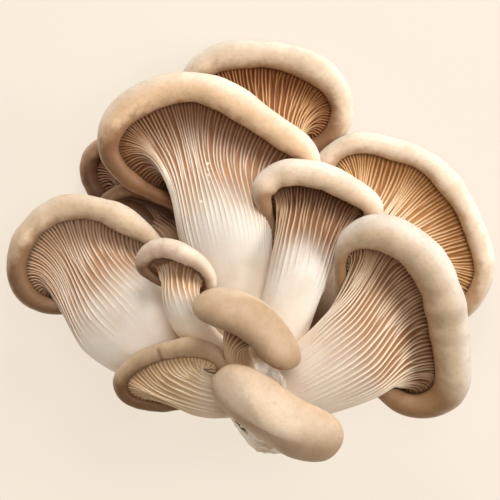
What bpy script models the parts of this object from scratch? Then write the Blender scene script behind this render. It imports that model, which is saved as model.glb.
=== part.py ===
"""Oyster mushroom cluster, for Blender 4.5 (metres, +Z up).

Twelve mushrooms grow out of one fused base. The cluster lies on its caps with the gills up, the way it is
put down after picking. Each mushroom is one solid: a stem that opens like a trumpet into the gill surface,
a rolled margin all round it, and the domed skin of the cap behind.

Frame: the origin is on the surface the cluster lies on, under the middle of its box. The base is towards -Y
and the caps fan out towards +Y and to both sides. Shapes are given in millimetres and made in metres.
"""

import math
from typing import NamedTuple

import bmesh
import bpy
import numpy as np
from mathutils import Matrix

MM = 0.001
GAP = 0.3  # mm kept between neighbours that touch
WELD = 0.001  # mm within which points are one
CREAM = (0.69, 0.54, 0.37, 1)
TAN = (0.60, 0.45, 0.29, 1)
RUSSET = (0.58, 0.37, 0.20, 1)
BUTT = (0.66, 0.57, 0.45, 1)
# Each piece's colour, averaged over skin, gills and stem, and its roughness.
FLESH = {
    "centre_mushroom": (CREAM, 0.55),
    "top_back_mushroom": (RUSSET, 0.55),
    "left_mushroom": (CREAM, 0.55),
    "centre_right_mushroom": (CREAM, 0.55),
    "right_back_mushroom": (RUSSET, 0.55),
    "right_front_mushroom": (CREAM, 0.55),
    "small_left_mushroom": (TAN, 0.55),
    "small_low_left_mushroom": (TAN, 0.55),
    "front_upper_mushroom": (TAN, 0.5),
    "front_lower_mushroom": (TAN, 0.5),
    "left_back_upper_mushroom": (TAN, 0.55),
    "left_back_lower_mushroom": (TAN, 0.55),
    "fused_base": (BUTT, 0.85),
}

COLUMNS_LARGE = 28  # facets round a large mushroom
COLUMNS_SMALL = 22
CURVE_SAMPLES = 720
SAMPLES_PER_SPAN = 60
# Where the rings of a mushroom lie: shares of the stem from the foot to the neck, shares of the gills from
# the neck to the margin, turns round the roll of the margin, and shares of the cap's top from rim to crown.
STEM_RINGS = (1.0, 0.66, 0.33)
GILL_RINGS = (0.0, 0.25, 0.5, 0.75, 0.92)
ROLL_RINGS = (200, 155, 110, 65, 30, 0)  # degrees: 180 is towards the gills, 0 is outwards
DOME_RINGS = (0.15, 0.35, 0.55, 0.75, 1.0)
SMALL_STEP = 0.01  # share of the stem over which its direction is read
GILL_HANDLE = 0.42  # how far the gills keep the line of the stem and of the margin, as a share of their reach
GILL_LIFT = 0.15  # how much the gills rise as they leave the margin
RIM_HANDLE = 0.35  # how plump the cap is behind its rim
CROWN_HANDLE = 0.45  # how flat its crown is


class Mushroom(NamedTuple):
    """The driving shape of one mushroom, in millimetres.

    margin: centre line of the rolled margin and the roll's radius, as x, y, z, radius. The points run
            anticlockwise as seen from the gills, which is what says where the gills face.
    stem:   a Bezier curve from the cap's heart to the foot, as x, y, z, half width, half depth.
    neck:   the share of the stem, from the heart, at which the gills leave it.
    dome:   how far the crown of the cap stands behind the margin.
    """

    margin: tuple
    stem: tuple
    neck: float = 0.45
    dome: float = 10.0
    columns: int = COLUMNS_LARGE


MUSHROOMS = {
    "centre_mushroom": Mushroom(
        margin=(
            (24, 36, 48, 4.5),
            (14.5, 45.3, 48, 5.8),
            (4.5, 52.4, 47, 6.2),
            (-6.5, 59.6, 45, 6.5),
            (-20, 65, 44, 6.5),
            (-42.6, 61, 42, 6.6),
            (-55.3, 49.6, 41, 5.6),
            (-56.5, 39, 39, 4.5),
            (-49, 29, 36, 3.5),
            (-34, 21, 32, 3.2),
            (-14, 16, 29, 3.5),
            (8, 19, 33, 4.0),
            (21, 27, 42, 4.0),
        ),
        stem=((-14, 36, 44, 24, 11), (-12, 18, 51, 23, 11), (-7, -12, 51, 14, 9), (2, -50, 45, 10, 8)),
        neck=0.42,
        dome=13,
    ),
    "top_back_mushroom": Mushroom(
        margin=(
            (37.7, 57, 15, 4.6),
            (33.2, 68.2, 16, 5.5),
            (19, 76.9, 16, 5.8),
            (0.5, 79.7, 16, 5.8),
            (-15, 77.2, 15, 5.7),
            (-23.8, 69.6, 14, 4.7),
            (-20, 56, 12, 4.0),
            (-6, 47, 11, 4.0),
            (12, 42, 11, 4.0),
            (29, 43, 13, 4.0),
        ),
        stem=((8, 55, 14, 13, 7), (11, 38, 19, 11, 7), (9, 0, 18, 9, 7), (5, -50, 22, 8, 7)),
        neck=0.25,
        dome=11,
    ),
    "left_mushroom": Mushroom(
        margin=(
            (-38.8, 3.6, 42, 3.1),
            (-46.2, 9.4, 40, 4.8),
            (-58, 15.4, 38, 5.0),
            (-73.4, 17.3, 36, 5.0),
            (-86.5, 10.6, 35, 4.8),
            (-93, 0, 34, 4.6),
            (-94, -10, 33, 4.2),
            (-88, -19.5, 31, 3.8),
            (-76, -23, 29, 3.4),
            (-62, -18, 28, 3.2),
            (-46, -10, 32, 3.2),
            (-37, -2, 38, 3.4),
        ),
        stem=((-64, -8, 34, 23, 9), (-59, -24, 40, 24, 9), (-42.5, -38.5, 42, 19, 9), (-8, -54, 42, 11, 8)),
        neck=0.4,
        dome=10,
    ),
    "centre_right_mushroom": Mushroom(
        margin=(
            (49, 17, 56, 4.5),
            (41, 23.5, 59, 5.2),
            (30, 29, 60, 5.6),
            (19, 31, 60, 5.6),
            (9.5, 29, 59, 5.2),
            (5, 23, 58, 4.2),
            (7.4, 14, 54, 2.0),
            (11, 5, 50, 1.9),
            (22, 0, 48, 2.6),
            (36, 2, 49, 3.6),
            (47, 9, 52, 4.0),
        ),
        stem=((25, 15, 56, 15, 8), (23, 2, 63, 13, 8), (17, -16, 64, 11, 8), (8, -46, 56, 10.5, 7)),
        neck=0.42,
        dome=9,
    ),
    "right_back_mushroom": Mushroom(
        margin=(
            (95.3, -7, 17, 4.1),
            (92.4, 5.5, 18, 4.5),
            (86, 19.9, 19, 4.6),
            (79.2, 29, 20, 5.0),
            (69.7, 37, 20, 4.5),
            (57, 41.3, 20, 4.5),
            (45.6, 43.6, 20, 4.4),
            (33.6, 39.2, 19, 4.4),
            (28.4, 30, 17, 4.2),
            (30, 16, 15, 4.0),
            (40, 0, 13, 4.0),
            (54, -16, 11, 4.0),
            (72, -28, 11, 4.0),
            (88, -23, 14, 4.2),
        ),
        stem=((54, 8, 16, 14, 7), (42, -10, 22, 12, 7), (32, -28, 22, 10, 8), (14, -54, 26, 9, 8)),
        neck=0.35,
        dome=13.2,
    ),
    "right_front_mushroom": Mushroom(
        margin=(
            (80.8, -44, 54, 7.6),
            (79.2, -30, 59, 7.9),
            (77.4, -20, 63, 8.2),
            (72, -8, 68, 8.2),
            (63, 2, 72, 7.9),
            (52.5, 7, 74, 7.4),
            (43, 6, 73, 6.0),
            (37.4, 1, 70, 3.6),
            (36, -10, 64, 2.3),
            (38, -26, 54, 2.7),
            (44, -44, 46, 3.6),
            (56, -58, 43, 4.4),
            (69, -62.4, 44, 5.4),
            (79.6, -56.2, 48, 6.8),
        ),
        stem=((55, -29, 54, 25, 11), (45.5, -40, 63, 22.5, 11), (33.5, -48, 64, 18, 11), (10.5, -58.5, 54, 13, 9)),
        neck=0.42,
        dome=12,
    ),
    "small_left_mushroom": Mushroom(
        margin=(
            (-15.5, -12, 66, 2.2),
            (-19, -6, 67, 3.0),
            (-25, -2.2, 66, 4.0),
            (-33, 0.8, 64, 4.3),
            (-40, -1, 61, 3.8),
            (-43, -6, 58, 2.8),
            (-39, -10.5, 56, 2.2),
            (-31, -14.5, 56, 2.0),
            (-22, -17.5, 59, 2.0),
            (-16.5, -16.5, 63, 2.0),
        ),
        stem=((-29, -8, 61, 9, 5), (-28, -18, 66, 9, 5), (-28, -34, 58, 8, 5), (-4, -46, 54, 6, 5)),
        neck=0.35,
        dome=6,
        columns=COLUMNS_SMALL,
    ),
    "small_low_left_mushroom": Mushroom(
        margin=(
            (-11, -44, 66, 3.2),
            (-18, -39.5, 66, 3.8),
            (-29, -39, 64, 3.8),
            (-39, -41.5, 61, 3.6),
            (-47, -46, 57, 3.4),
            (-51.5, -52, 54, 3.0),
            (-49.5, -58, 51, 2.6),
            (-42, -61.5, 50, 2.4),
            (-30, -62, 52, 2.4),
            (-18, -58, 56, 2.6),
            (-11, -51, 62, 2.8),
        ),
        stem=((-32, -51, 56, 11, 6), (-23, -57.5, 63, 11, 6), (-12, -60.5, 63, 9, 6), (0, -58, 56, 8, 6)),
        neck=0.38,
        dome=6,
        columns=COLUMNS_SMALL,
    ),
    "front_upper_mushroom": Mushroom(
        margin=(
            (-17, -25, 86, 3.4),
            (-19, -21, 80, 3.4),
            (-14, -18, 76, 3.4),
            (-5, -22.7, 73, 3.5),
            (4.3, -31, 73, 3.6),
            (12.3, -38.2, 75, 3.8),
            (16, -42, 80, 4.0),
            (11.5, -43, 86, 3.8),
            (4, -36.5, 89, 3.8),
            (-6, -29.5, 89, 3.6),
        ),
        stem=((-3, -31, 81, 7, 5), (-7, -36, 78, 6, 5), (-7, -41, 70, 5, 5), (0, -52, 58, 5, 5)),
        neck=0.4,
        dome=6,
        columns=COLUMNS_SMALL,
    ),
    "front_lower_mushroom": Mushroom(
        margin=(
            (32.2, -73.3, 82, 5.0),
            (28, -78.3, 79, 5.2),
            (22, -78.5, 78, 5.4),
            (12, -73, 77, 5.4),
            (2, -66.5, 77, 5.4),
            (-6, -60, 78, 5.2),
            (-10.5, -53, 80, 5.0),
            (-7, -49.5, 84, 4.6),
            (3, -52, 86, 4.4),
            (13, -59, 86, 4.4),
            (27, -67.3, 85, 4.7),
        ),
        stem=((11, -64, 80, 9, 6), (10, -62, 74, 8, 6), (9, -62, 68, 7, 6), (8, -64, 56, 7, 6)),
        neck=0.4,
        dome=6,
        columns=COLUMNS_SMALL,
    ),
    "left_back_upper_mushroom": Mushroom(
        margin=(
            (-41, 28.8, 9, 3.2),
            (-47.5, 38.2, 9, 3.2),
            (-56, 42.7, 9, 3.4),
            (-63.7, 40, 9, 3.6),
            (-66, 32.8, 9, 3.6),
            (-64, 25.6, 9, 3.6),
            (-58.6, 19.4, 9, 3.4),
            (-50, 15, 9, 3.2),
            (-41, 19, 9, 3.2),
        ),
        stem=((-52, 29, 10, 8, 4), (-42, 16, 13, 7, 4), (-24, -10, 10, 6, 4.5), (-5, -52, 12, 6, 5)),
        neck=0.25,
        dome=7.6,
        columns=COLUMNS_SMALL,
    ),
    "left_back_lower_mushroom": Mushroom(
        margin=(
            (-28, 14, 23, 2.8),
            (-33, 19.5, 23, 2.8),
            (-43, 23.2, 23, 3.0),
            (-53.8, 22.9, 23, 3.4),
            (-57.6, 19.2, 23, 3.6),
            (-51, 17.4, 23, 3.4),
            (-43, 13, 23, 3.2),
            (-37, 6, 23, 3.0),
            (-30, 4, 23, 2.8),
        ),
        stem=((-38, 14, 23, 6, 4), (-31, 6, 26, 6, 4), (-20, -12, 25, 6, 5), (-4, -50, 30, 6, 5)),
        neck=0.25,
        dome=4,
        columns=COLUMNS_SMALL,
    ),
}

# The fused base as slices across Y, from the side the stems grow out of to the butt: y, the middle in x and
# z, and the half sizes in x and z.
BASE_SLICES = (
    (-42, 2, 38, 5, 12),
    (-45, 2, 36, 12, 27),
    (-51, 3, 33, 16, 34),
    (-58, 3.5, 33, 16, 35),
    (-64, 4.5, 33, 14, 34),
    (-70, 6.6, 32, 12.4, 30),
    (-76, 8.6, 31, 10.4, 24),
    (-80.4, 10, 30, 7.4, 16),
    (-82, 11, 30, 3, 7),
)
BASE_COLUMNS = 36
BASE_LUMPS = 0.9  # mm of unevenness, where the base is wide
BASE_LUMP_COUNT = 3  # lumps round the base
BASE_LUMP_TWIST = 0.35  # radians that the lumps turn in each mm along it
WIDE_BASE = 10  # mm of half width from which the lumps have their full height

# Where two stems crowd, the first keeps its shape and the second grows round it.
CROWDED = (
    ("centre_mushroom", "left_mushroom"),
    ("centre_mushroom", "centre_right_mushroom"),
    ("right_front_mushroom", "centre_right_mushroom"),
    ("right_front_mushroom", "centre_mushroom"),
    ("small_low_left_mushroom", "left_mushroom"),
    ("small_low_left_mushroom", "small_left_mushroom"),
    ("small_left_mushroom", "left_mushroom"),
    ("front_upper_mushroom", "small_left_mushroom"),
    ("front_upper_mushroom", "centre_right_mushroom"),
    ("front_lower_mushroom", "right_front_mushroom"),
    ("right_back_mushroom", "top_back_mushroom"),
    ("left_back_lower_mushroom", "left_back_upper_mushroom"),
    ("centre_mushroom", "small_left_mushroom"),
    ("centre_right_mushroom", "small_left_mushroom"),
    ("front_upper_mushroom", "small_low_left_mushroom"),
    ("top_back_mushroom", "left_back_upper_mushroom"),
)


def unit(vectors):
    """The vectors at length one."""
    return vectors / np.linalg.norm(vectors, axis=-1, keepdims=True)


def smooth_loop(points, samples=CURVE_SAMPLES):
    """A closed cubic curve through the points, with no kink in its slope or bend, sampled evenly."""
    knots = np.array(points, float)
    count = len(knots)
    after = np.roll(knots, -1, axis=0) - knots
    spans = np.linalg.norm(after[:, :3], axis=1)
    system = np.zeros((count, count))
    wanted = np.zeros_like(knots)
    for i in range(count):
        left, right = spans[i - 1], spans[i]
        system[i, i - 1] += right
        system[i, i] += 2 * (left + right)
        system[i, (i + 1) % count] += left
        wanted[i] = 3 * (right / left * after[i - 1] + left / right * after[i])
    slopes = np.linalg.solve(system, wanted)
    share = np.linspace(0, 1, SAMPLES_PER_SPAN, endpoint=False)[:, None]
    pieces = []
    for i in range(count):
        start, end = knots[i], knots[(i + 1) % count]
        out, into = slopes[i] * spans[i], slopes[(i + 1) % count] * spans[i]
        pieces.append(
            start * (1 + 2 * share) * (1 - share) ** 2
            + out * share * (1 - share) ** 2
            + end * share**2 * (3 - 2 * share)
            + into * share**2 * (share - 1)
        )
    return evenly(np.concatenate(pieces), samples)


def evenly(loop, samples, start=0.0):
    """A closed run of points read again at even steps along its length, from the share start onwards."""
    closed = np.vstack([loop, loop[:1]])
    steps = np.linalg.norm(np.diff(closed[:, :3], axis=0), axis=1)
    along = np.concatenate([[0], np.cumsum(steps)]) / steps.sum()
    at = (start + np.arange(samples) / samples) % 1
    return np.stack([np.interp(at, along, closed[:, k]) for k in range(closed.shape[1])], axis=1)


def bezier(controls, share):
    """The point of a Bezier curve of any degree, by repeated halving of its control points."""
    layer = [np.asarray(c, float) for c in controls]
    while len(layer) > 1:
        layer = [a + (b - a) * share for a, b in zip(layer, layer[1:])]
    return layer[0]


def facing(loop):
    """The direction a closed loop faces, by the right-hand rule."""
    return unit(np.cross(loop, np.roll(loop, -1, axis=0)).sum(axis=0))


def rings(m, grow=0.0):
    """The rings of a mushroom from foot to crown, as an array of ring, column and x, y, z in millimetres."""
    margin = smooth_loop(m.margin)
    heart, foot = np.array(m.stem[0][:3], float), np.array(m.stem[-1][:3], float)
    gill_side = facing(margin[:, :3])
    ahead = heart - foot
    ahead = unit(ahead - ahead @ gill_side * gill_side)
    across = np.cross(ahead, gill_side)

    # Column 0 is where the margin lies furthest to one side, and half a turn of the stem ends at the other.
    sideways = (margin[:, :3] - heart) @ across
    first = int(np.argmax(sideways))
    opposite = ((int(np.argmin(sideways)) - first) % len(margin)) / len(margin)
    margin = evenly(margin, m.columns, first / len(margin))
    share = np.arange(m.columns) / m.columns
    turn = np.interp(share, [0, opposite, 1], [0, math.pi, 2 * math.pi])[:, None]

    line, radius = margin[:, :3], margin[:, 3:] + grow
    along = unit(np.roll(line, -1, axis=0) - np.roll(line, 1, axis=0))
    outward = unit(np.cross(along, gill_side))
    front = np.cross(outward, along)

    def stem_ring(at):
        centre = bezier(m.stem, at)
        nearer = bezier(m.stem, at - SMALL_STEP)
        towards_cap = unit(nearer[:3] - centre[:3])
        wide = unit(across - across @ towards_cap * towards_cap)
        deep = np.cross(wide, towards_cap)
        half_width, half_depth = centre[3] + grow, centre[4] + grow
        ring = centre[:3] + half_width * np.cos(turn) * wide + half_depth * np.sin(turn) * deep
        return ring, towards_cap

    def roll_ring(degrees):
        angle = math.radians(degrees)
        return line + radius * (math.cos(angle) * outward + math.sin(angle) * front)

    made = [stem_ring(m.neck + (1 - m.neck) * at)[0] for at in STEM_RINGS]
    neck, towards_cap = stem_ring(m.neck)
    edge = roll_ring(ROLL_RINGS[0])
    reach = np.linalg.norm(edge - neck, axis=1, keepdims=True)
    gills = (
        neck,
        neck + GILL_HANDLE * reach * towards_cap,
        edge - GILL_HANDLE * reach * (outward + GILL_LIFT * front),
        edge,
    )
    made += [bezier(gills, at) for at in GILL_RINGS]
    made += [roll_ring(degrees) for degrees in ROLL_RINGS]
    rim = made[-1]
    crown = roll_ring(-90).mean(axis=0) - (m.dome + grow) * gill_side
    radial = rim - crown
    radial = radial - (radial @ gill_side)[:, None] * gill_side
    top = (rim, rim - RIM_HANDLE * (radius + m.dome) * front, crown + CROWN_HANDLE * radial, crown)
    made += [bezier(top, at) for at in DOME_RINGS]
    return np.array(made)


def rested(loops):
    """The loops pressed flat where they would sink into the surface the cluster lies on."""
    loops = loops.copy()
    loops[..., 2] = np.maximum(loops[..., 2], 0)
    return loops


def lofted(name, loops, parent):
    """A closed mesh object on the loops: a straight tube is spun, then its points are put on the loops."""
    ring_count, columns = loops.shape[:2]
    bm = bmesh.new()
    profile = [bm.verts.new((1, 0, row)) for row in range(ring_count)]
    edges = [bm.edges.new(pair) for pair in zip(profile, profile[1:])]
    bmesh.ops.spin(
        bm,
        geom=profile + edges,
        cent=(0, 0, 0),
        axis=(0, 0, 1),
        angle=2 * math.pi,
        steps=columns,
        use_merge=True,
    )
    for vert in bm.verts:
        turned = math.atan2(vert.co.y, vert.co.x) / (2 * math.pi)
        vert.co = loops[round(vert.co.z), round(turned * columns) % columns]
    bmesh.ops.holes_fill(bm, edges=[e for e in bm.edges if e.is_boundary], sides=columns)
    bmesh.ops.remove_doubles(bm, verts=bm.verts, dist=WELD)
    bmesh.ops.recalc_face_normals(bm, faces=bm.faces)
    bmesh.ops.triangulate(bm, faces=bm.faces)
    bm.transform(Matrix.Scale(MM, 4))
    mesh = bpy.data.meshes.new(name)
    bm.to_mesh(mesh)
    bm.free()
    mesh.shade_smooth()
    made = bpy.data.objects.new(name, mesh)
    made.parent = parent
    bpy.context.scene.collection.objects.link(made)
    return made


def base_rings(grow=0.0):
    """The slices of the fused base, in the same form as the rings of a mushroom."""
    turn = np.arange(BASE_COLUMNS) * 2 * math.pi / BASE_COLUMNS
    made = []
    for y, x, z, half_x, half_z in BASE_SLICES:
        lumps = BASE_LUMPS * np.sin(BASE_LUMP_COUNT * turn + BASE_LUMP_TWIST * y) * min(1, half_x / WIDE_BASE)
        around = np.stack([np.cos(turn), 0 * turn, np.sin(turn)], axis=1)
        half = np.array([half_x, 0, half_z]) + lumps[:, None] + grow
        made.append(np.array([x, y, z]) + around * half)
    made[0][:, 1] += grow
    made[-1][:, 1] -= grow
    return np.array(made)


def cut(keeper_loops, other, parent):
    """Take the room of one piece, and the gap round it, out of another."""
    cutter = lofted("cutter_for_" + other.name, keeper_loops, parent)
    cutter.hide_render = True
    cutter.display_type = "WIRE"
    boolean = other.modifiers.new("room_for_neighbour", "BOOLEAN")
    boolean.operation = "DIFFERENCE"
    boolean.solver = "EXACT"
    boolean.object = cutter


def flesh(name, colour, roughness):
    """A plain Principled material."""
    material = bpy.data.materials.new(name)
    material.use_nodes = True
    shader = material.node_tree.nodes["Principled BSDF"]
    shader.inputs["Base Color"].default_value = colour
    shader.inputs["Roughness"].default_value = roughness
    shader.inputs["Metallic"].default_value = 0.0
    return material


def main():
    for old in list(bpy.data.objects):
        bpy.data.objects.remove(old)
    shapes = {name: rested(rings(shape)) for name, shape in MUSHROOMS.items()}
    shapes["fused_base"] = rested(base_rings())
    every_point = np.concatenate([loops.reshape(-1, 3) for loops in shapes.values()])
    middle = (every_point.min(axis=0) + every_point.max(axis=0)) / 2

    cluster = bpy.data.objects.new("oyster_mushroom_cluster", None)
    bpy.context.scene.collection.objects.link(cluster)
    cluster.location = (-middle[0] * MM, -middle[1] * MM, 0)

    pieces = {}
    for name, loops in shapes.items():
        pieces[name] = lofted(name, loops, cluster)
        pieces[name].data.materials.append(flesh(name + "_flesh", *FLESH[name]))
        if name in MUSHROOMS:
            cut(base_rings(GAP), pieces[name], cluster)
    for keeper, other in CROWDED:
        cut(rings(MUSHROOMS[keeper], GAP), pieces[other], cluster)


main()
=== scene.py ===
"""Looks of an oyster mushroom cluster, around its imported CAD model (Blender 4.5, metres, +Z up).

Each mushroom is two pieces, a cap with its rolled margin and the gills with the stem they run down, and all
of them grow from one fused base. Shapes are worked out in millimetres in the maker's own frame and are made
in metres where the CAD model lies.
"""

import math
import random
from typing import NamedTuple

import bmesh
import bpy
import numpy as np
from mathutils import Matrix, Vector, noise


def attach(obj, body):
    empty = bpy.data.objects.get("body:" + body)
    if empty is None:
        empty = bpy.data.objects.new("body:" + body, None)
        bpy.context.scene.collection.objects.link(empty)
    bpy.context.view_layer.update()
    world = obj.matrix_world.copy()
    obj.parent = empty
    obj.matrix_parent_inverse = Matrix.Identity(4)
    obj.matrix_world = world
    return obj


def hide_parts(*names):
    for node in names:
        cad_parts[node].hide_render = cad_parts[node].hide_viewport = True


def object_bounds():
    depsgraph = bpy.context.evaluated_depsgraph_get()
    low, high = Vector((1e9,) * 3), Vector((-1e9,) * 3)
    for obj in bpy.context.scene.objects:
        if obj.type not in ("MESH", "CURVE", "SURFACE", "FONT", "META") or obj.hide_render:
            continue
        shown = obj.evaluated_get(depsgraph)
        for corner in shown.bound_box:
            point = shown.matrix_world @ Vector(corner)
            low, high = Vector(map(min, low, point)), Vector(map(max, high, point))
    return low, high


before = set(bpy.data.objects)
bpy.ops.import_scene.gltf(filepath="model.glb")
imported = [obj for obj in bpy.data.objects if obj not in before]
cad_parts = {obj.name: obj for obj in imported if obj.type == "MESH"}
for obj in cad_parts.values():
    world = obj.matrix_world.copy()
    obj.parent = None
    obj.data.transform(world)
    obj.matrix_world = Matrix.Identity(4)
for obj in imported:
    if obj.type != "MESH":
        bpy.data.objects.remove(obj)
CAD_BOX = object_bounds()

MM = 0.001
CURVE_SAMPLES = 720  # points kept round each margin

# The rings and columns of each mesh. A gill has a column at each of these shares of the pitch from its edge.
GILL_COLUMNS = (0.0, 0.15, 0.34, 0.5, 0.66, 0.85)
GILL_RINGS = 46
STEM_RINGS = 34
CAP_COLUMNS = 320
ROLL_RINGS = 32
DOME_RINGS = 36
BASE_COLUMNS = 48
ROOT_RINGS = 10

# Millimetres.
GILL_PITCH = 1.8  # from gill to gill at the margin
GILL_WIDTH = 0.42  # half the thickness of a gill's edge
GILL_BACK = 5  # from the cap's top to the hidden back of the gills
CAP_FLOOR = 3  # from the cap's top to its hidden floor
FOLD_DEPTH = 0.22  # soft folds along a stem
TORN_DEPTH = 0.6  # lost from the edge of a torn gill
NICK_WIDTH = 0.9
NICK_DEPTH = 1.0
BASE_GRAIN = 0.8  # the voxels that melt the base together
SCRAP = np.array([-4, -69.5, 47])  # where a scrap of the dark straw it grew on still sticks to the butt

# Places along a mushroom: -1 at the foot, 0 at the neck and 1 at the margin.
DEEPEST_RUN = -0.85  # no gill runs further down its stem
SHORT_ENDS = (0.4, 0.9)  # where short gills die away
RAGGED_ENDS = 0.3  # how much nearer the cap than its run a long gill may die away

ROOT_START = 0.72  # the share of a stem, from neck to foot, past which it is melted into the base
LEANS = (-0.7, 0, 0.7)  # how far a short gill may lean over into its neighbour as it ends, in pitches
LIGHT_SIDE = np.array([0.35, 0.94, 0.0])  # the side the light comes from: caps and gills facing away from it get painted shade


class Mushroom(NamedTuple):
    """The driving shape of one mushroom, in millimetres.

    margin: centre line of the rolled margin and the roll's radius, as x, y, z, radius, anticlockwise as seen
            from the gills.
    stem:   a Bezier curve from the cap's heart to the foot, as x, y, z, half width, half depth.
    neck:   the share of the stem, from the heart, at which the gills leave it.
    dome:   how far the crown of the cap stands behind the margin.
    run:    where the gills have died away, from the foot at -1 past the neck at 0 to the margin at 1.
    flank:  how much further the gills run down the flanks of the stem than down its middle.
    swing:  how far a gill that starts beside the stem swings round before it turns down it, 1 being widest.
    follow: how far the gills keep the stem's line before they spread out to the margin.
    tuck:   where on the roll the gills begin, in degrees, 180 being its inner side.
    lift:   how fast the gills rise as they leave the margin.
    nicks:  cracks across the rolled margin, as x, y.
    torn:   spots where the edges of the gills are torn, as x, y, radius.
    """

    margin: tuple
    stem: tuple
    neck: float
    dome: float
    slot: str
    run: float = -0.2
    flank: float = 0.45
    gill_depth: float = 1.3
    swing: float = 1.0
    follow: float = 1.0
    tuck: float = 200
    lift: float = -0.15
    nicks: tuple = ()
    torn: tuple = ()


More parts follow.
